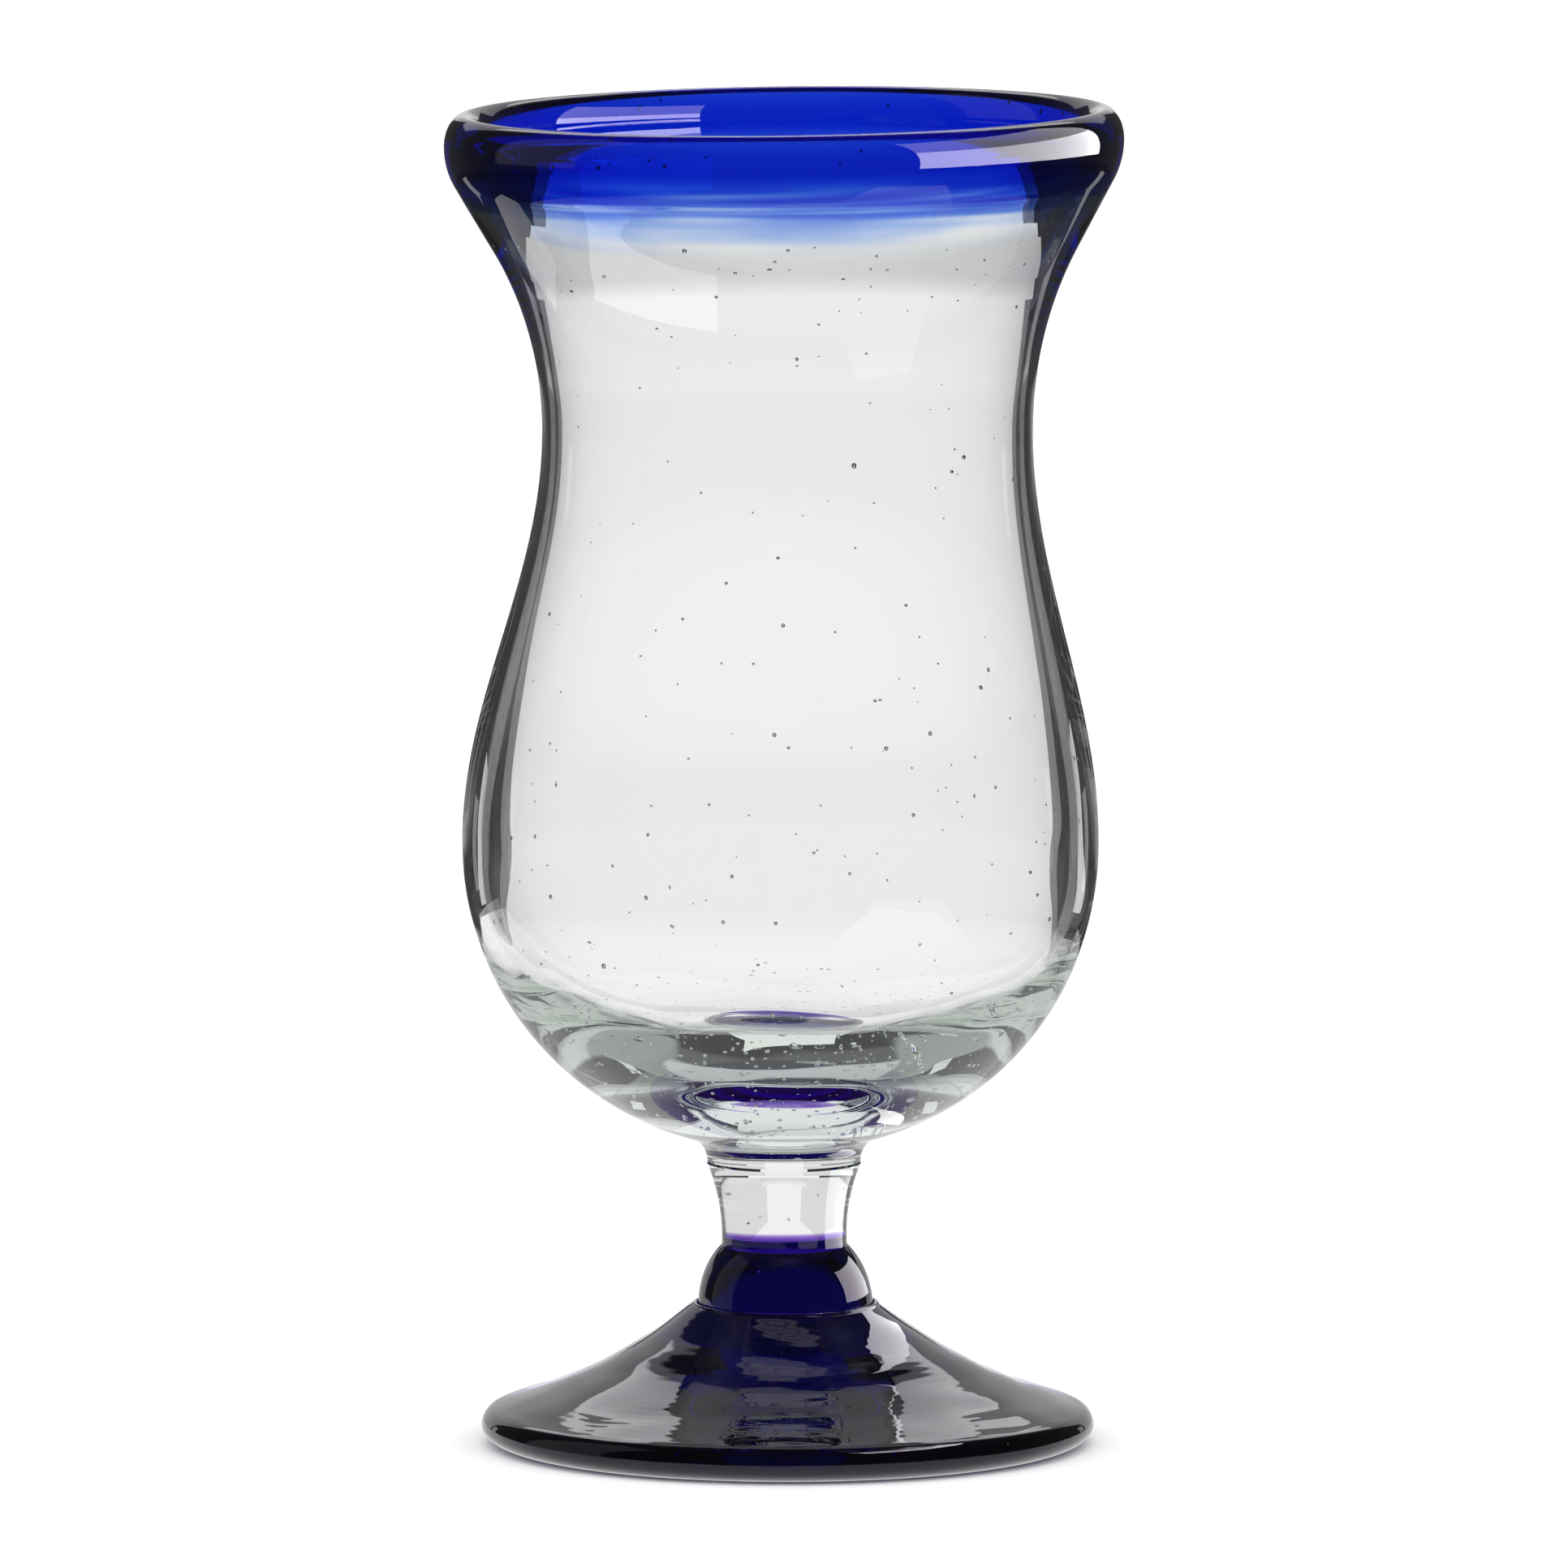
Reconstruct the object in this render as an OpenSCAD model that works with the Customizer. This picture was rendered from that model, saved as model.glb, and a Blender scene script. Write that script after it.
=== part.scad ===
// Hand-blown hurricane glass: a clear hourglass bowl with a cobalt lip wrap, on a short clear stem,
// a cobalt ball knop and a cobalt foot. Five gathers of glass, fused hot where they meet.
// Millimetres, +Z up, origin on the table at the centre of the foot.

/* [Foot] */
// Diameter of the foot at its widest
foot_d = 87; // [76:0.1:110]
// Height of the crown, where the foot laps round the knop
foot_h = 19.8; // [18.5:0.1:28]
// Thickness of the rounded edge
foot_edge_t = 5.4; // [4:0.1:8]
// Width of the rounding under the edge
foot_round_w = 5; // [3:0.1:8]
// Slope of the upper face where it meets the edge, in degrees
foot_slope = 16; // [10:0.5:20]
// Width of the thin crown lip that laps the knop
crown_lip_w = 0.9; // [0.5:0.1:3]
// Width of the flat ring that stands on the table
rest_w = 5; // [2:0.5:12]
// Height of the hollow under the foot
kick_h = 3; // [1:0.1:5]

/* [Knop] */
// Diameter of the ball
knop_d = 24.9; // [20:0.1:30]
// Height of the neck between the ball and the stem
neck_h = 1.2; // [0.5:0.1:5]

/* [Stem] */
// Diameter at the knop's neck
stem_d = 17.9; // [12:0.1:21]
// Diameter at the bowl
stem_top_d = 22; // [18:0.1:28]
// Length between its two fused ends
stem_l = 10.3; // [5:0.1:40]

/* [Bowl] */
// Diameter at the belly
belly_d = 90.2; // [80:0.1:100]
// Radius of the round underside, from the belly to the stem
underside_r = 43.2; // [38:0.1:45]
// Radius of the fillet between the underside and the stem
fillet_r = 3.5; // [1:0.1:10]
// Straight run of the bowl's neck above the stem
neck_run = 0.4; // [0:0.1:5]
// Height from the belly up to the waist
belly_to_waist = 58.8; // [45:0.1:80]
// Diameter at the waist
waist_d = 69.4; // [60:0.1:76]
// Radius of the flare above the waist
flare_r = 54; // [40:0.5:60]
// Steepest lean of the flare, in degrees from the vertical
flare_lean = 28.5; // [20:0.5:31]
// Wall at the belly
belly_wall = 2.6; // [1.5:0.1:6]
// Wall at the waist
waist_wall = 1.3; // [1:0.1:4]
// Thickness of solid glass from the stem up to the cavity floor
base_t = 14.3; // [8:0.1:30]
// Fullness of the cavity floor: 2 is an ellipse, and more is flatter with a tighter corner
floor_fullness = 2.5; // [2:0.1:3.5]

/* [Lip wrap] */
// Diameter of the rim at its widest
rim_d = 96; // [92:0.1:110]
// Radius of the outward bulge under the rim
bulge_r = 12; // [6:0.5:16]
// Thickness of the rolled lip
lip_t = 5.6; // [4:0.1:9]
// Height of the rolled lip above its widest line
lip_h = 4.5; // [2:0.1:8]
// Height below the widest line over which the wall keeps the lip's thickness
lip_root = 3; // [1:0.1:8]
// How late the wall swells into the lip: more keeps it thin until closer to the rim
lip_swell = 1.8; // [1:0.1:3]
// Height of the cobalt band below the widest line, down to its feather edge
band_h = 10.2; // [6:0.1:16]
// Height over which the wrap tapers from a full wall to its feather edge
taper_h = 9.2; // [4:0.1:14]
// Curve of the taper: 1 thins evenly, and more keeps the wrap thin until close to the lip
taper_curve = 1.7; // [1:0.1:4]

/* [Hidden] */

// Steps along each curve of a profile
steps = 28;
$fn = 180;

CLEAR = [0.86, 0.91, 0.90, 0.35];
COBALT = [0.05, 0.04, 0.50, 0.85];

// Radii of the pieces, from their diameters
foot_r = foot_d / 2;
knop_r = knop_d / 2;
stem_r = stem_d / 2;
stem_top_r = stem_top_d / 2;
belly_r = belly_d / 2;
waist_r = waist_d / 2;
rim_r = rim_d / 2;

// Heights of the stack, each piece standing on the one below
knop_z = foot_h;
ball_top_z = knop_z + sqrt(knop_r ^ 2 - stem_r ^ 2);
knop_top_z = ball_top_z + neck_h;
bowl_z = knop_top_z + stem_l;

// The fillet touches the stem's side and the round underside
underside_x = belly_r - underside_r;
fillet_x = stem_top_r + fillet_r;
fillet_z = bowl_z + neck_run;
belly_z = fillet_z + sqrt((underside_r + fillet_r) ^ 2 - (fillet_x - underside_x) ^ 2);
waist_z = belly_z + belly_to_waist;
floor_z = bowl_z + base_t;

// The flare leans out on one arc, runs straight, and turns upright on the bulge
flare_top_z = waist_z + flare_r * sin(flare_lean);
flare_top_r = waist_r + flare_r * (1 - cos(flare_lean));
bulge_foot_r = rim_r - bulge_r * (1 - cos(flare_lean));
bulge_foot_z = flare_top_z + (bulge_foot_r - flare_top_r) / tan(flare_lean);
rim_z = bulge_foot_z + bulge_r * sin(flare_lean);

// The wrap's taper, from its feather edge outside to the top of the clear wall inside
feather_z = rim_z - band_h;
taper_top_z = feather_z + taper_h;

function mix(a, b, t) = a + (b - a) * t;
function ease(t) = (1 - cos(180 * t)) / 2;
function reversed(list) = [for (i = [len(list) - 1:-1:0]) list[i]];

// Points of an arc about c from angle a0 to a1
function arc(c, r, a0, a1) = [
    for (i = [0:steps]) let (a = mix(a0, a1, i / steps)) c + r * [cos(a), sin(a)]
];

// Outer radius of the bowl at any height from the belly to the rim
function outer_r(z) =
    z < waist_z ? mix(belly_r, waist_r, ease((z - belly_z) / belly_to_waist)) :
    z < flare_top_z ? waist_r + flare_r - sqrt(flare_r ^ 2 - (z - waist_z) ^ 2) :
    z < bulge_foot_z ? flare_top_r + (z - flare_top_z) * tan(flare_lean) :
    rim_r - bulge_r + sqrt(bulge_r ^ 2 - (rim_z - z) ^ 2);

// Wall at the same heights: thick at the belly, thin at the waist, swelling into the lip
function wall(z) =
    z < waist_z ? mix(belly_wall, waist_wall, ease((z - belly_z) / belly_to_waist)) :
    mix(waist_wall, lip_t, ease(min(1, (z - waist_z) / (rim_z - lip_root - waist_z)) ^ lip_swell));

function inner_r(z) = outer_r(z) - wall(z);

function outer_run(z0, z1) = [
    for (i = [0:steps]) let (z = mix(z0, z1, i / steps)) [outer_r(z), z]
];
function inner_run(z0, z1) = [
    for (i = [0:steps]) let (z = mix(z0, z1, i / steps)) [inner_r(z), z]
];

// The taper, which the bowl and the wrap share: the wrap takes a growing part of the wall
taper_run = [
    for (i = [0:steps]) let (t = i / steps, z = feather_z + t * taper_h)
        [outer_r(z) - wall(z) * t ^ taper_curve, z]
];

module foot() {
    edge_r = foot_edge_t / 2;
    edge_c = [foot_r - edge_r, edge_r];
    // The upper face sweeps from the crown to touch the rounded edge at its slope
    slope_dir = [sin(foot_slope), cos(foot_slope)];
    touch = edge_c + edge_r * slope_dir;
    crown = [knop_r + crown_lip_w, foot_h];
    reach = crown - touch;
    sweep_r = (reach * reach) / (2 * slope_dir * reach);
    sweep_c = touch + sweep_r * slope_dir;
    crown_a = atan2(crown.y - sweep_c.y, crown.x - sweep_c.x);
    lip_c = [knop_r + crown_lip_w / 2, foot_h];
    round_x = foot_r - foot_round_w;
    under_edge = [
        for (i = [0:steps]) let (a = 90 * i / steps)
            [round_x + foot_round_w * sin(a), edge_r - edge_r * cos(a)]
    ];
    rest_in_r = round_x - rest_w;
    kick_r = (rest_in_r ^ 2 + kick_h ^ 2) / (2 * kick_h);

    color(COBALT) difference() {
        rotate_extrude() polygon(concat(
            [[0, 0]],
            under_edge,
            arc(edge_c, edge_r, 0, 90 - foot_slope),
            arc(sweep_c, sweep_r, -90 - foot_slope, crown_a),
            arc(lip_c, crown_lip_w / 2, 0, 180),
            [[0, foot_h]]
        ));
        translate([0, 0, knop_z]) sphere(knop_r);
        translate([0, 0, kick_h - kick_r]) sphere(kick_r);
    }
}

module knop() {
    color(COBALT) union() {
        translate([0, 0, knop_z]) sphere(knop_r);
        translate([0, 0, knop_z]) cylinder(h = knop_top_z - knop_z, r = stem_r);
    }
}

module stem() {
    side = [
        for (i = [0:steps]) let (t = i / steps)
            [mix(stem_r, stem_top_r, t ^ 2), knop_top_z + t * stem_l]
    ];
    color(CLEAR) rotate_extrude() polygon(concat([[0, knop_top_z]], side, [[0, bowl_z]]));
}

module bowl() {
    underside_c = [underside_x, belly_z];
    fillet_c = [fillet_x, fillet_z];
    // Both arcs meet on the line between their centres
    meet_a = atan2(fillet_z - belly_z, fillet_x - underside_x);
    floor_arc = [
        for (i = [0:steps]) let (
            a = 90 * i / steps,
            k = (sin(a) ^ floor_fullness + cos(a) ^ floor_fullness) ^ (-1 / floor_fullness)
        )
            [inner_r(belly_z) * k * sin(a), belly_z - (belly_z - floor_z) * k * cos(a)]
    ];
    color(CLEAR) rotate_extrude() polygon(concat(
        [[0, bowl_z], [stem_top_r, bowl_z]],
        arc(fillet_c, fillet_r, 180, 180 + meet_a),
        arc(underside_c, underside_r, meet_a, 0),
        outer_run(belly_z, waist_z),
        outer_run(waist_z, feather_z),
        taper_run,
        reversed(inner_run(waist_z, taper_top_z)),
        reversed(inner_run(belly_z, waist_z)),
        reversed(floor_arc)
    ));
}

module lip_wrap() {
    roll = [
        for (i = [0:steps]) let (a = 180 * i / steps)
            [rim_r - lip_t / 2 + lip_t / 2 * cos(a), rim_z + lip_h * sin(a)]
    ];
    color(COBALT) rotate_extrude() polygon(concat(
        outer_run(feather_z, rim_z),
        roll,
        reversed(inner_run(taper_top_z, rim_z)),
        reversed(taper_run)
    ));
}

foot();
knop();
stem();
bowl();
lip_wrap();
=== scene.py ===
# A hand-blown hurricane glass: a clear hourglass bowl with a thick cobalt lip, on a short clear
# stem, a cobalt ball knop and a cobalt foot. Metres, +Z up, the camera looks along +Y.
import math
import random

import bpy
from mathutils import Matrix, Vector, noise


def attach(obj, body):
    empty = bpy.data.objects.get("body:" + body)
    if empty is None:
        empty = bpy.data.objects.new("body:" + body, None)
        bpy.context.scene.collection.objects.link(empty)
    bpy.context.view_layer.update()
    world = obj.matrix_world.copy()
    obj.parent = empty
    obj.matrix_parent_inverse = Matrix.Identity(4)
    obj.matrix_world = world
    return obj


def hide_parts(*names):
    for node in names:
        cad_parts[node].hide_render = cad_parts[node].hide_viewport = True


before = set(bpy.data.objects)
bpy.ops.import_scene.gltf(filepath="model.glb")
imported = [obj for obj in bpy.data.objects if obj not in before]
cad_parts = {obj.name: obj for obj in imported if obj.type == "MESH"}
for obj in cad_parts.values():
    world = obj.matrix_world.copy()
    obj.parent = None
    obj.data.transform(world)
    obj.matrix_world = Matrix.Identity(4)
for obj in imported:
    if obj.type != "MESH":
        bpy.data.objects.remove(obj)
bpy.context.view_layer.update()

# The view: a long lens from well back and a little above the rim, so that the rim and the foot
# open to narrow ellipses. The picture is square.
view_distance = 2.83
view_height = 0.408
aim_height = 0.0939
view_width = 0.2216
camera_data = bpy.data.cameras.new("view")
camera_data.sensor_width = 36.0
sight_line = math.hypot(view_distance, view_height - aim_height)
camera_data.lens = camera_data.sensor_width * sight_line / view_width
camera_data.clip_end = 20.0
camera = bpy.data.objects.new("view", camera_data)
camera.location = (0.0, -view_distance, view_height)
camera.rotation_euler.x = math.radians(90) - math.atan2(view_height - aim_height, view_distance)
scene = bpy.context.scene
scene.collection.objects.link(camera)
bpy.context.scene.camera = camera

# The foot: a gather of cobalt glass dropped on the knop and tooled while the glass turned, into a
# cone with a concave sweep, a rounded edge, a flat ring to stand on and a hollow underneath. Its
# thin crown laps the knop, and the two are fused over the knop's lower half.
MM = 0.001
foot_r = 43.5 * MM
foot_h = 19.8 * MM
foot_edge_r = 2.7 * MM
foot_round_w = 5.0 * MM
foot_slope = math.radians(16)
crown_lip_w = 0.9 * MM
rest_w = 5.0 * MM
kick_h = 3.0 * MM
knop_r = 12.45 * MM
knop_z = foot_h
around = 240
seam_gap = 0.02 * MM


def arc(centre, radius, start, end, steps):
    """Points (r, z) along an arc, from one angle to another."""
    angles = [start + (end - start) * i / steps for i in range(steps + 1)]
    return [(centre[0] + radius * math.cos(a), centre[1] + radius * math.sin(a)) for a in angles]


def blend(a, b, t):
    return a + (b - a) * t


def ease(t):
    t = min(max(t, 0.0), 1.0)
    return (1 - math.cos(math.pi * t)) / 2


def wander(x, y, z, size, shift):
    """Smooth noise from -1 to 1 with lumps about as large as size."""
    return noise.noise(Vector((x / size + shift, y / size - shift, z / size + 2.3 * shift)))


def hand_lean(x, y, z):
    """Where a point of the true form lies on glass shaped by hand: its axis strays a little from straight,
    by the second of each pair of millimetres at the height of the first, and its rim from level."""
    stations = ((3, 0.5), (35, 0.0), (86, -0.5), (145, 0.5), (183, 0.0), (200, 0.0))
    lean = stations[0][1]
    for (z0, d0), (z1, d1) in zip(stations, stations[1:]):
        if z0 * MM <= z <= z1 * MM:
            lean = blend(d0, d1, ease((z / MM - z0) / (z1 - z0)))
    tilt = 0.012 * ease((z / MM - 160) / 24)
    return Vector((x + lean * MM, y, z + tilt * (x - 46 * MM)))


def ripple(skin, x, y, z):
    """How far hand-worked glass strays from a true turned surface, along the surface's normal."""
    if skin == "outer":
        low = ease((104 * MM - z) / (30 * MM))
        calm = 0.02 * (wander(x, y, z, 24 * MM, 3.1) - 1)
        lumps = 0.05 * low * (wander(x, y, z, 11 * MM, 8.4) - 1)
        return (calm + lumps) * ease(z / (3 * MM)) * MM
    if skin == "inner":
        low = ease((92 * MM - z) / (22 * MM))
        calm = 0.02 * wander(x, y, z, 24 * MM, 5.7)
        lumpy = 0.25 * wander(x, y, 0.6 * z, 13 * MM, 6.6)
        return blend(calm, lumpy, low) * MM
    if skin == "tooled":
        reach = math.hypot(x, y)
        bands = math.sin(reach / (1.15 * MM) + 3.0 * wander(x, y, z, 16 * MM, 4.2))
        grip = 0.5 + 0.5 * wander(x, y, z, 12 * MM, 9.3)
        fine = math.sin(reach / (0.22 * MM) + 5.0 * wander(x, y, z, 9 * MM, 7.7))
        return (0.09 * bands * grip + 0.16 * wander(x, y, z, 10 * MM, 2.8) + 0.006 * fine * grip) * MM
    return 0.0


def turned(name, outline, seeds=()):
    """Turns an outline of (skin, points) runs about the axis into one closed mesh. Seam faces, where
    the piece is fused to its neighbour, carry the mark "fused". Seeds are bubbles in the glass."""
    profile, fused_after = [], []
    for skin, run in outline:
        for k, (r, z) in enumerate(run):
            before, after = run[max(k - 1, 0)], run[min(k + 1, len(run) - 1)]
            dr, dz = after[0] - before[0], after[1] - before[1]
            size = math.hypot(dr, dz)
            point = (r, z, dz / size, -dr / size, skin)
            if k == 0 and profile:
                if "seam" in profile[-1][4]:
                    profile[-1] = point
            else:
                profile.append(point)
                fused_after.append(None)
            if k:
                fused_after[-2] = "seam" in skin
    first, last = profile[0], profile[-1]
    ring = math.hypot(first[0] - last[0], first[1] - last[1]) < 1e-7
    if ring:
        profile.pop()
        fused_after.pop()
    verts, rows = [], []
    for r, z, nr, nz, skin in profile:
        row = []
        for j in range(1 if r < 1e-7 else around):
            a = math.tau * j / around
            line = wrap_line(a, z) if skin == "wrap seam" else r
            d = -seam_gap / 2 if "seam" in skin else ripple(skin, r * math.cos(a), r * math.sin(a), z)
            far = line + nr * d
            row.append(len(verts))
            verts.append(hand_lean(far * math.cos(a), far * math.sin(a), z + nz * d))
        rows.append(row)
    faces, fused = [], []
    count = len(rows)
    for i in range(count if ring else count - 1):
        low, high = rows[i], rows[(i + 1) % count]
        for j in range(around):
            k = (j + 1) % around
            corners = [low[j % len(low)], low[k % len(low)], high[k % len(high)], high[j % len(high)]]
            faces.append(list(dict.fromkeys(corners)))
            fused.append(1.0 if fused_after[i] else 0.0)
    for centre, size, stretch in seeds:
        base = len(verts)
        belts, sides = 7, 10
        for b in range(belts + 1):
            lat = math.pi * (b / belts - 0.5)
            for s in range(1 if b in (0, belts) else sides):
                lon = math.tau * s / sides
                off = Vector((math.cos(lat) * math.cos(lon), math.cos(lat) * math.sin(lon), math.sin(lat)))
                off.z *= stretch
                verts.append(hand_lean(*(Vector(centre) + off * size)))
        top = len(verts) - 1
        for s in range(sides):
            t = (s + 1) % sides
            faces.append([base, base + 1 + s, base + 1 + t])
            for b in range(belts - 2):
                a0 = base + 1 + b * sides
                faces.append([a0 + s, a0 + sides + s, a0 + sides + t, a0 + t])
            a0 = base + 1 + (belts - 2) * sides
            faces.append([a0 + s, top, a0 + t])
        fused += [0.0] * (len(faces) - len(fused))
    mesh = bpy.data.meshes.new(name)
    mesh.from_pydata(verts, [], faces)
    mesh.polygons.foreach_set("use_smooth", [True] * len(faces))
    mesh.attributes.new("fused", "FLOAT", "FACE").data.foreach_set("value", fused)
    corner = {v for i, row in enumerate(rows) for v in row if fused_after[i - 1] != fused_after[i]}
    for edge in mesh.edges:
        edge.use_edge_sharp = edge.vertices[0] in corner and edge.vertices[1] in corner
    piece = bpy.data.objects.new(name, mesh)
    scene.collection.objects.link(piece)
    return piece


def scatter(count, key, reach, low, high, inside):
    """Seed bubbles through a piece of glass, wherever inside(r, z, room) says that there is room for one."""
    pick = random.Random(key)
    found = []
    while len(found) < count:
        x, y, z = pick.uniform(-reach, reach), pick.uniform(-reach, reach), pick.uniform(low, high)
        size = (0.12 + 0.24 * pick.random() ** 2) * MM
        if inside(math.hypot(x, y), z, size + 0.12 * MM):
            found.append(((x, y, z), size, pick.uniform(0.7, 1.3)))
    return found


# Fire polish, shared by the clear and the cobalt glass: the faint ripple that reheating leaves.
polish = bpy.data.node_groups.new("fire_polish", "ShaderNodeTree")
polish.interface.new_socket("Ripple Scale", in_out="INPUT", socket_type="NodeSocketFloat")
polish.interface.new_socket("Height", in_out="OUTPUT", socket_type="NodeSocketFloat")
p_in = polish.nodes.new("NodeGroupInput")
p_out = polish.nodes.new("NodeGroupOutput")
p_place = polish.nodes.new("ShaderNodeTexCoord")
p_ripple = polish.nodes.new("ShaderNodeTexNoise")
p_ripple.inputs["Detail"].default_value = 1.0
polish.links.new(p_place.outputs["Object"], p_ripple.inputs["Vector"])
polish.links.new(p_in.outputs["Ripple Scale"], p_ripple.inputs["Scale"])
polish.links.new(p_ripple.outputs["Fac"], p_out.inputs["Height"])


def glass(name, density, passes, sheen, tint, ripple_scale, ripple_depth):
    """Glass that bends light and takes colour from its own depth. A metre of it takes the density times
    what is left out of passes, for each colour. sheen and tint are the strength and colour of what the
    surface mirrors, and faces marked as fused let light straight through."""
    mat = bpy.data.materials.new(name)
    mat.use_nodes = True
    nodes, links = mat.node_tree.nodes, mat.node_tree.links
    shader = nodes["Principled BSDF"]
    shader.inputs["Base Color"].default_value = (1.0, 1.0, 1.0, 1.0)
    shader.inputs["Roughness"].default_value = 0.0
    shader.inputs["IOR"].default_value = 1.5
    shader.inputs["Transmission Weight"].default_value = 1.0
    shader.inputs["Specular IOR Level"].default_value = sheen
    shader.inputs["Specular Tint"].default_value = (*tint, 1.0)
    surface = nodes.new("ShaderNodeGroup")
    surface.node_tree = polish
    surface.inputs["Ripple Scale"].default_value = ripple_scale
    bump = nodes.new("ShaderNodeBump")
    bump.inputs["Distance"].default_value = ripple_depth
    links.new(surface.outputs["Height"], bump.inputs["Height"])
    links.new(bump.outputs["Normal"], shader.inputs["Normal"])
    fused = nodes.new("ShaderNodeAttribute")
    fused.attribute_name = "fused"
    shown = nodes.new("ShaderNodeMath")
    shown.operation = "SUBTRACT"
    shown.inputs[0].default_value = 1.0
    links.new(fused.outputs["Fac"], shown.inputs[1])
    links.new(shown.outputs["Value"], shader.inputs["Alpha"])
    depth = nodes.new("ShaderNodeVolumeAbsorption")
    depth.inputs["Color"].default_value = (*passes, 1.0)
    depth.inputs["Density"].default_value = density
    links.new(depth.outputs["Volume"], nodes["Material Output"].inputs["Volume"])
    return mat


cobalt = glass(
    "cobalt_foot", 300.0, (0.42, 0.12, 0.785), sheen=0.3, tint=(0.95, 0.84, 1.0),
    ripple_scale=140.0, ripple_depth=0.05 * MM)

edge_c = (foot_r - foot_edge_r, foot_edge_r)
round_x = foot_r - foot_round_w
under_edge = [
    (round_x + foot_round_w * math.sin(a), foot_edge_r * (1 - math.cos(a)))
    for a in (math.pi / 2 * i / 20 for i in range(21))
]
rest_in_r = round_x - rest_w
kick_r = (rest_in_r ** 2 + kick_h ** 2) / (2 * kick_h)
kick_a = math.asin(rest_in_r / kick_r)
slope_dir = (math.sin(foot_slope), math.cos(foot_slope))
touch = (edge_c[0] + foot_edge_r * slope_dir[0], edge_c[1] + foot_edge_r * slope_dir[1])
crown = (knop_r + crown_lip_w, foot_h)
reach = (crown[0] - touch[0], crown[1] - touch[1])
sweep_r = (reach[0] ** 2 + reach[1] ** 2) / (2 * (slope_dir[0] * reach[0] + slope_dir[1] * reach[1]))
sweep_c = (touch[0] + sweep_r * slope_dir[0], touch[1] + sweep_r * slope_dir[1])
crown_a = math.atan2(crown[1] - sweep_c[1], crown[0] - sweep_c[0])
foot = turned("foot", [
    ("outer", arc((0, kick_h - kick_r), kick_r, math.pi / 2, math.pi / 2 - kick_a, 24)),
    ("flat", [(rest_in_r, 0.0), (round_x, 0.0)]),
    ("outer", under_edge),
    ("outer", arc(edge_c, foot_edge_r, 0.0, math.pi / 2 - foot_slope, 16)),
    ("tooled", arc(sweep_c, sweep_r, -math.pi / 2 - foot_slope, crown_a, 180)),
    ("outer", arc((knop_r + crown_lip_w / 2, foot_h), crown_lip_w / 2, 0.0, math.pi, 10)),
    ("seam", arc((0, knop_z), knop_r, 0.0, -math.pi / 2, 24)),
], scatter(70, 11, 36 * MM, 3 * MM, foot_h, lambda r, z, room:
           z < sweep_c[1] - math.sqrt(sweep_r ** 2 - (r - sweep_c[0]) ** 2) - room - 0.3 * MM
           and z > kick_h + room and math.hypot(r, z - knop_z) > knop_r + room))
foot.data.materials.append(cobalt)
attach(foot, "root")
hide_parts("foot")

# The knop: a ball of cobalt glass with a short neck, dropped on the end of the stem. Its lower half
# is fused into the foot and its neck to the stem.
stem_r = 8.95 * MM
neck_h = 1.2 * MM
ball_top_a = math.acos(stem_r / knop_r)
ball_top_z = knop_z + knop_r * math.sin(ball_top_a)
knop_top_z = ball_top_z + neck_h
knop = turned("knop", [
    ("seam", arc((0, knop_z), knop_r, -math.pi / 2, 0.0, 24)),
    ("outer", arc((0, knop_z), knop_r, 0.0, ball_top_a, 24)),
    ("outer", [(stem_r, blend(ball_top_z, knop_top_z, i / 6)) for i in range(7)]),
    ("seam", [(stem_r * (1 - i / 6), knop_top_z) for i in range(7)]),
], scatter(16, 12, knop_r, knop_z - knop_r, ball_top_z, lambda r, z, room:
           math.hypot(r, z - knop_z) < knop_r - room))
knop.data.materials.append(cobalt)
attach(knop, "root")
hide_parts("knop")

# The stem: a short bit of clear glass, drawn down hot from the bowl to the knop's neck and fused to
# both. It widens upward into the bowl's base.
stem_top_r = 11.0 * MM
stem_l = 10.3 * MM
bowl_z = knop_top_z + stem_l
clear = glass(
    "clear_glass", 3.4, (0.0, 0.32, 0.09), sheen=0.06, tint=(1.0, 1.0, 1.0),
    ripple_scale=90.0, ripple_depth=0.004 * MM)
stem = turned("stem", [
    ("seam", [(stem_r * i / 6, knop_top_z) for i in range(7)]),
    ("outer", [
        (blend(stem_r, stem_top_r, (i / 24) ** 2), blend(knop_top_z, bowl_z, i / 24)) for i in range(25)
    ]),
    ("seam", [(stem_top_r * (1 - i / 6), bowl_z) for i in range(7)]),
], scatter(6, 13, stem_r, knop_top_z + 0.5 * MM, bowl_z - 0.5 * MM, lambda r, z, room: r < stem_r - room))
stem.data.materials.append(clear)
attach(stem, "root")
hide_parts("stem")

# The bowl: the blown bubble of clear glass, solid at its base, swelling to a belly, drawn in to a
# waist and flared to the mouth. Seed bubbles are trapped in the wall.
belly_r = 45.1 * MM
underside_r = 43.2 * MM
fillet_r = 3.5 * MM
neck_run = 0.4 * MM
belly_to_waist = 58.8 * MM
waist_r = 34.7 * MM
flare_r = 54.0 * MM
flare_lean = math.radians(28.5)
belly_wall = 2.6 * MM
waist_wall = 1.3 * MM
base_t = 14.3 * MM
floor_fullness = 2.5
rim_r = 48.0 * MM
bulge_r = 12.0 * MM
lip_t = 5.6 * MM
lip_h = 4.5 * MM
lip_root = 3.0 * MM
lip_swell = 1.8
band_h = 10.2 * MM
taper_h = 9.2 * MM
taper_curve = 1.7

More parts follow.
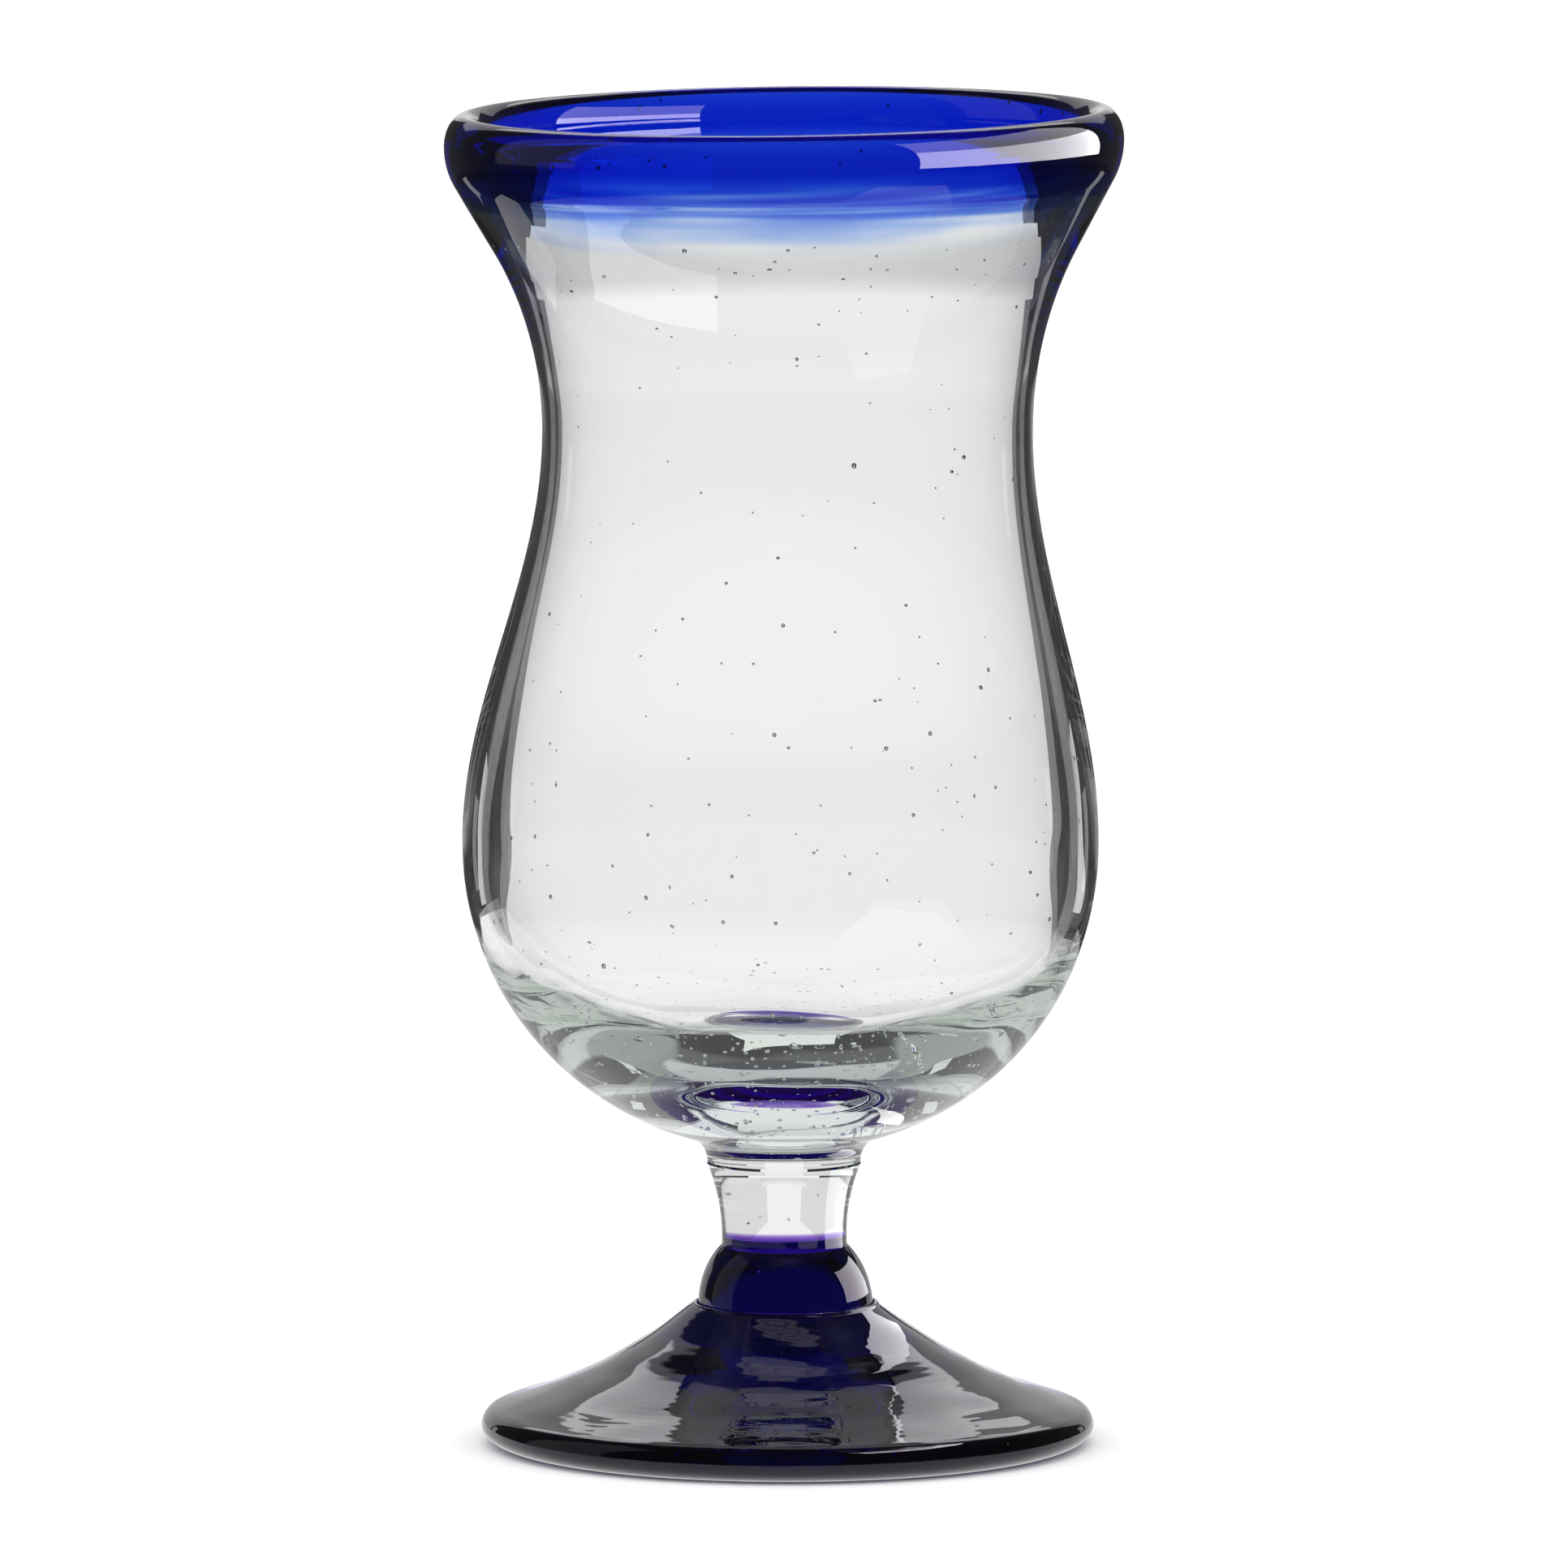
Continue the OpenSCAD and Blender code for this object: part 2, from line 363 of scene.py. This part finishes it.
underside_x = belly_r - underside_r
fillet_x = stem_top_r + fillet_r
fillet_z = bowl_z + neck_run
belly_z = fillet_z + math.sqrt((underside_r + fillet_r) ** 2 - (fillet_x - underside_x) ** 2)
waist_z = belly_z + belly_to_waist
floor_z = bowl_z + base_t
flare_top_z = waist_z + flare_r * math.sin(flare_lean)
flare_top_r = waist_r + flare_r * (1 - math.cos(flare_lean))
bulge_foot_r = rim_r - bulge_r * (1 - math.cos(flare_lean))
bulge_foot_z = flare_top_z + (bulge_foot_r - flare_top_r) / math.tan(flare_lean)
rim_z = bulge_foot_z + bulge_r * math.sin(flare_lean)
feather_z = rim_z - band_h
taper_top_z = feather_z + taper_h


def outer_r(z):
    if z < waist_z:
        return blend(belly_r, waist_r, ease((z - belly_z) / belly_to_waist))
    if z < flare_top_z:
        return waist_r + flare_r - math.sqrt(flare_r ** 2 - (z - waist_z) ** 2)
    if z < bulge_foot_z:
        return flare_top_r + (z - flare_top_z) * math.tan(flare_lean)
    return rim_r - bulge_r + math.sqrt(bulge_r ** 2 - (rim_z - z) ** 2)


def wall(z):
    if z < waist_z:
        return blend(belly_wall, waist_wall, ease((z - belly_z) / belly_to_waist))
    return blend(waist_wall, lip_t, ease(min((z - waist_z) / (rim_z - lip_root - waist_z), 1.0) ** lip_swell))


def inner_r(z):
    return outer_r(z) - wall(z)


def run(radius, start, end, steps):
    heights = [blend(start, end, i / steps) for i in range(steps + 1)]
    return [(radius(z), z) for z in heights]


def wrap_line(a, z):
    """Radius of the seam between the clear wall and the lip wrap, which thins downward in long streaks."""
    up = (z - feather_z) / taper_h
    x, y = 44 * MM * math.cos(a), 44 * MM * math.sin(a)
    streak_w, streak_h = 0.022, 0.0011
    streak = noise.noise(Vector((x / streak_w, y / streak_w, z / streak_h)))
    depth = max(wall(z) * up ** taper_curve * (1 + 1.5 * ease((1 - up) / 0.6) * streak), 0.04 * MM)
    return outer_r(z) + ripple("outer", outer_r(z) * math.cos(a), outer_r(z) * math.sin(a), z) - depth


taper = [(outer_r(z) - wall(z) * ((z - feather_z) / taper_h) ** taper_curve, z)
         for z in (feather_z + taper_h * i / 40 for i in range(41))]
meet_a = math.atan2(fillet_z - belly_z, fillet_x - underside_x)
floor_arc = []
for i in range(60):
    a = math.pi / 2 * (1 - i / 60)
    k = (math.sin(a) ** floor_fullness + math.cos(a) ** floor_fullness) ** (-1 / floor_fullness)
    floor_arc.append((inner_r(belly_z) * k * math.sin(a), belly_z - (belly_z - floor_z) * k * math.cos(a)))


def in_wall(r, z, room):
    """Whether a spot lies in the bowl's glass, clear of both faces by room."""
    if z >= belly_z:
        return inner_r(z) + room < r < outer_r(z) - room
    drop = (belly_z - z + room) / (belly_z - floor_z)
    hollow = inner_r(belly_z) * max(1 - drop ** floor_fullness, 0.0) ** (1 / floor_fullness)
    return hollow + room < r and math.hypot(r - underside_x, z - belly_z) < underside_r - room


bowl = turned("bowl", [
    ("seam", [(stem_top_r * i / 6, bowl_z) for i in range(7)]),
    ("outer", arc((fillet_x, fillet_z), fillet_r, math.pi, math.pi + meet_a, 14)),
    ("outer", arc((underside_x, belly_z), underside_r, meet_a, 0.0, 50)),
    ("outer", run(outer_r, belly_z, waist_z, 50)),
    ("outer", run(outer_r, waist_z, feather_z, 30)),
    ("wrap seam", taper),
    ("inner", run(inner_r, taper_top_z, waist_z, 40)),
    ("inner", run(inner_r, waist_z, belly_z, 50)),
    ("inner", floor_arc + [(0.0, floor_z)]),
], scatter(520, 14, rim_r, bowl_z + 2 * MM, feather_z - 1 * MM, in_wall))
bowl.data.materials.append(clear)
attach(bowl, "root")
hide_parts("bowl")

# The lip wrap: a trail of cobalt glass wound on the mouth, melted in and rolled to a thick lip, and
# thinned downward over the clear wall to a streaky feather edge.
roll = [
    (rim_r - lip_t / 2 + lip_t / 2 * math.cos(a), rim_z + lip_h * math.sin(a))
    for a in (math.pi * i / 40 for i in range(41))
]
lip_wrap = turned("lip_wrap", [
    ("outer", run(outer_r, feather_z, rim_z, 40)),
    ("outer", roll),
    ("inner", run(inner_r, rim_z, taper_top_z, 16)),
    ("wrap seam", taper[::-1]),
], scatter(40, 15, rim_r, taper_top_z + 0.4 * MM, rim_z + 3 * MM, lambda r, z, room:
           inner_r(min(z, rim_z)) + room + 1 * MM < r < outer_r(min(z, rim_z)) - room - 1 * MM))
cobalt_lip = glass(
    "cobalt_lip", 1100.0, (0.0, 0.345, 0.909), sheen=0.75, tint=(0.97, 0.92, 1.0),
    ripple_scale=140.0, ripple_depth=0.02 * MM)
lip_wrap.data.materials.append(cobalt_lip)
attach(lip_wrap, "root")
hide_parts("lip_wrap")

# The studio: a plain white floor that the glass stands on. It is left out of what the glass bends and
# mirrors, which comes from the cards and the surroundings below.
bpy.ops.mesh.primitive_circle_add(vertices=96, radius=6.0, fill_type="NGON")
floor = bpy.context.object
floor.name = "floor"
floor_mat = bpy.data.materials.new("floor_white")
floor_mat.use_nodes = True
floor_shader = floor_mat.node_tree.nodes["Principled BSDF"]
floor_shader.inputs["Base Color"].default_value = (0.9, 0.9, 0.9, 1.0)
floor_shader.inputs["Roughness"].default_value = 1.0
floor_shader.inputs["Specular IOR Level"].default_value = 0.0
floor.data.materials.append(floor_mat)
floor.visible_glossy = False
floor.visible_transmission = False

# White cards round the glass, which only light in the glass meets: a disc under it, a narrow sweep
# behind it, slim cards at its sides and a soft box at the right. They are one mesh, and each glows
# for one kind of light and is clear to the rest.
card_verts, card_faces, card_kinds = [], [], []


def card(corners, level, kind="any"):
    """One flat card that glows evenly: for any light, for light that has met four faces of glass at most
    (straight), for light that has crossed both walls (walls), or for mirrored light (mirror)."""
    card_faces.append(list(range(len(card_verts), len(card_verts) + len(corners))))
    card_verts.extend(corners)
    card_kinds.append((level, kind))


def curved_card(start, end, far, low, high, level, kind="any"):
    """A card bent round the axis, from one bearing to another in degrees."""
    steps = max(round(abs(end - start) / 5), 1)
    rim = [(-far * math.sin(math.radians(a)), far * math.cos(math.radians(a)))
           for a in (blend(start, end, i / steps) for i in range(steps + 1))]
    for (x0, y0), (x1, y1) in zip(rim, rim[1:]):
        card([(x0, y0, low), (x1, y1, low), (x1, y1, high), (x0, y0, high)], level, kind)


def upright_card(left, right, low, high, level, kind="any"):
    """A card across the back of the sweep."""
    corners = [(left, back_y, low), (right, back_y, low), (right, back_y, high), (left, back_y, high)]
    card(corners, level, kind)


# The disc, white under the glass and greyer ring by ring
for radius, drop, level in (
    (0.15, 0.001, 0.95), (0.19, 0.003, 0.75), (0.23, 0.004, 0.55), (0.27, 0.005, 0.38)
):
    bearings = [math.tau * i / 48 for i in range(48)]
    card([(radius * math.cos(a), radius * math.sin(a), -drop) for a in bearings], level)

# The sweep, in shares of its half width: white in the middle, with a grey edge at each side
front_y, back_y = 0.1, 1.25
front_half, back_half = 0.07, 0.215
sweep_low, sweep_mid, sweep_top = -0.002, 0.12, 0.315
for left, right, level, low_kind, high_kind in (
    (-1.0, 1.0, 0.95, "any", "straight"),
    (-1.18, -1.0, 0.28, "walls", "walls"),
    (1.0, 1.18, 0.28, "walls", "walls"),
):
    card([
        (left * front_half, front_y, sweep_low), (right * front_half, front_y, sweep_low),
        (right * back_half, back_y, sweep_low), (left * back_half, back_y, sweep_low),
    ], level, low_kind)
    upright_card(left * back_half, right * back_half, sweep_low, sweep_mid, level, low_kind)
    upright_card(left * back_half, right * back_half, sweep_mid, sweep_top, level, high_kind)

# The sweep's top, which greys upward in strips
strip_count, strip_h, strip_half = 8, 0.009, 0.27
for i in range(strip_count):
    strip_low = sweep_top + strip_h * i
    strip_level = round(0.93 - 0.035 * i, 3)
    upright_card(-strip_half, strip_half, strip_low, strip_low + strip_h, strip_level, "straight")
upright_card(-0.29, 0.29, sweep_top + strip_count * strip_h, 0.80, 0.66, "straight")

# Behind at each side, a slim card that draws a bright line in the belly's wall, and a low one that the
# foot mirrors
for side in (-1, 1):
    curved_card(side * 36.5, side * 41.5, far=0.45, low=0.0, high=0.075, level=0.75)
    curved_card(side * 20, side * 50, far=0.12, low=0.0, high=0.05, level=0.7, kind="mirror")

# The soft box at the right: a bright and a dimmer card for the lip, and a small one for the knop
curved_card(-66, -142, far=0.125, low=0.173, high=0.22, level=9.0, kind="mirror")
curved_card(-66, -142, far=0.125, low=0.22, high=0.29, level=2.5, kind="mirror")
curved_card(-66, -114, far=0.022, low=0.0215, high=0.034, level=4.5, kind="mirror")

# Strips of white floor that lie behind the glass when it is seen from the front right or the back left
for bearing in (46, 225):
    out_x, out_y = -math.sin(math.radians(bearing)), math.cos(math.radians(bearing))
    strip = ((0.10, -0.08), (0.36, -0.08), (0.36, 0.08), (0.10, 0.08))
    card([(r * out_x + s * out_y, r * out_y - s * out_x, -0.0005) for r, s in strip], 0.92, "straight")

card_mesh = bpy.data.meshes.new("cards")
card_mesh.from_pydata(card_verts, [], card_faces)
kinds = sorted(set(card_kinds))
for level, kind in kinds:
    mat = bpy.data.materials.new(f"card_{kind}_{round(100 * level)}")
    mat.use_nodes = True
    nodes, links = mat.node_tree.nodes, mat.node_tree.links
    nodes.clear()
    ray = nodes.new("ShaderNodeLightPath")
    # Both walls have four faces
    faces_met = nodes.new("ShaderNodeMath")
    faces_met.operation = "COMPARE"
    faces_met.inputs[1].default_value = 4.0 if kind == "walls" else 0.0
    faces_met.inputs[2].default_value = 0.5 if kind == "walls" else 4.5
    links.new(ray.outputs["Ray Depth"], faces_met.inputs[0])
    glow = nodes.new("ShaderNodeEmission")
    glow.inputs["Strength"].default_value = level
    choice = nodes.new("ShaderNodeMixShader")
    choice.inputs[0].default_value = 1.0
    if kind == "mirror":
        links.new(ray.outputs["Is Reflection Ray"], choice.inputs[0])
    elif kind != "any":
        links.new(faces_met.outputs[0], choice.inputs[0])
    links.new(nodes.new("ShaderNodeBsdfTransparent").outputs[0], choice.inputs[1])
    links.new(glow.outputs[0], choice.inputs[2])
    links.new(choice.outputs[0], nodes.new("ShaderNodeOutputMaterial").inputs["Surface"])
    card_mesh.materials.append(mat)
for face, level_and_kind in zip(card_mesh.polygons, card_kinds):
    face.material_index = kinds.index(level_and_kind)
cards = bpy.data.objects.new("cards", card_mesh)
scene.collection.objects.link(cards)
cards.visible_camera = False
cards.visible_diffuse = False
cards.visible_shadow = False

# The surroundings: white where the camera looks, soft light on the floor, and panels of light in a dark
# room for what the glass bends and mirrors.
world = bpy.data.worlds.new("studio")
world.use_nodes = True
scene.world = world
w_nodes, w_links = world.node_tree.nodes, world.node_tree.links
w_nodes.clear()


def sum_up(operation, a, b):
    """A sum on two values, each a number or another node's output."""
    node = w_nodes.new("ShaderNodeMath")
    node.operation = operation
    for socket, value in zip(node.inputs, (a, b)):
        if isinstance(value, (int, float)):
            socket.default_value = value
        else:
            w_links.new(value, socket)
    return node.outputs[0]


def window(value, middle, half, soft):
    """1 within half of middle, falling to 0 over soft degrees, round the circle."""
    node = w_nodes.new("ShaderNodeMath")
    node.operation = "WRAP"
    w_links.new(sum_up("SUBTRACT", value, middle), node.inputs[0])
    node.inputs[1].default_value = 180.0
    node.inputs[2].default_value = -180.0
    edge = w_nodes.new("ShaderNodeMapRange")
    edge.interpolation_type = "SMOOTHSTEP"
    w_links.new(sum_up("ABSOLUTE", node.outputs[0], 0.0), edge.inputs["Value"])
    edge.inputs["From Min"].default_value = half
    edge.inputs["From Max"].default_value = half + soft
    edge.inputs["To Min"].default_value = 1.0
    edge.inputs["To Max"].default_value = 0.0
    return edge.outputs["Result"]


look = w_nodes.new("ShaderNodeTexCoord")
parts = w_nodes.new("ShaderNodeSeparateXYZ")
w_links.new(look.outputs["Generated"], parts.inputs[0])
degrees = 180 / math.pi
leftward = sum_up("MULTIPLY", parts.outputs["X"], -1.0)
turn = sum_up("MULTIPLY", sum_up("ARCTAN2", leftward, parts.outputs["Y"]), degrees)
lift = sum_up("MULTIPLY", sum_up("ARCSINE", parts.outputs["Z"], 0.0), degrees)
path = w_nodes.new("ShaderNodeLightPath")
# Here the ray's depth is one more than the faces that the light has met
bent, depth = path.outputs["Is Transmission Ray"], path.outputs["Ray Depth"]
two_faces = sum_up("COMPARE", depth, 3.0)
four_faces = sum_up("COMPARE", depth, 5.0)
many_faces = sum_up("GREATER_THAN", depth, 6.5)
through = sum_up("MULTIPLY", bent, sum_up("MAXIMUM", two_faces, four_faces))
ringing = sum_up("MULTIPLY", bent, many_faces)
solid = sum_up("MULTIPLY", bent, two_faces)
mirrored = path.outputs["Is Reflection Ray"]
room_light, floor_light = 0.035, 1.6
# Each panel: its bearing, half its width and soft edge, its height, half its height and soft edge,
# all in degrees, its light, and the kind of light that meets it: any (1.0), light straight through
# a solid piece or both walls, light ringing in the thick base, light through a solid piece, or
# mirrored light
panels = (
    # Above the sweep
    (0.0, 29.0, 3.0, 34.5, 19.0, 2.0, 0.65, 1.0),
    # Behind the glass when it is seen from its other sides
    (46.0, 5.0, 2.0, -12.0, 22.0, 4.0, 0.85, through),
    (90.0, 8.0, 2.0, -6.0, 14.0, 4.0, 0.85, through),
    (225.0, 8.0, 2.0, -6.0, 14.0, 4.0, 0.85, through),
    # All round, for the thick base
    (180.0, 150.0, 4.0, 28.0, 26.0, 3.0, 0.34, ringing),
    (180.0, 120.0, 8.0, 28.0, 26.0, 3.0, 0.62, ringing),
    (0.0, 30.0, 4.0, 20.0, 12.0, 4.0, 0.12, ringing),
    # Behind the solid pieces
    (0.0, 56.0, 10.0, 5.0, 16.0, 4.0, 0.75, solid),
    # In the mirror: a dim room, a pale wall at the left and a bright light high at the back
    (0.0, 180.0, 1.0, 40.0, 50.0, 5.0, 0.06, mirrored),
    (85.0, 18.0, 4.0, 25.0, 30.0, 4.0, 0.30, mirrored),
    (0.0, 24.0, 3.0, 38.0, 9.0, 2.0, 2.40, mirrored),
)
light = room_light
for bearing, half, soft, height, half_height, soft_height, level, kind in panels:
    across, upward = window(turn, bearing, half, soft), window(lift, height, half_height, soft_height)
    panel = sum_up("MULTIPLY", sum_up("MULTIPLY", across, upward), level)
    light = sum_up("MAXIMUM", light, sum_up("MULTIPLY", panel, kind))
on_floor = sum_up("MULTIPLY", path.outputs["Is Diffuse Ray"], floor_light)
plain = sum_up("MAXIMUM", path.outputs["Is Camera Ray"], on_floor)
backdrop = w_nodes.new("ShaderNodeBackground")
backdrop.inputs["Color"].default_value = (1.0, 1.0, 1.0, 1.0)
w_links.new(sum_up("MAXIMUM", plain, light), backdrop.inputs["Strength"])
w_out = w_nodes.new("ShaderNodeOutputWorld")
w_links.new(backdrop.outputs[0], w_out.inputs["Surface"])

scene.view_settings.view_transform = "Standard"
scene.cycles.max_bounces = 48
scene.cycles.glossy_bounces = 48
scene.cycles.transmission_bounces = 48
scene.cycles.transparent_max_bounces = 64
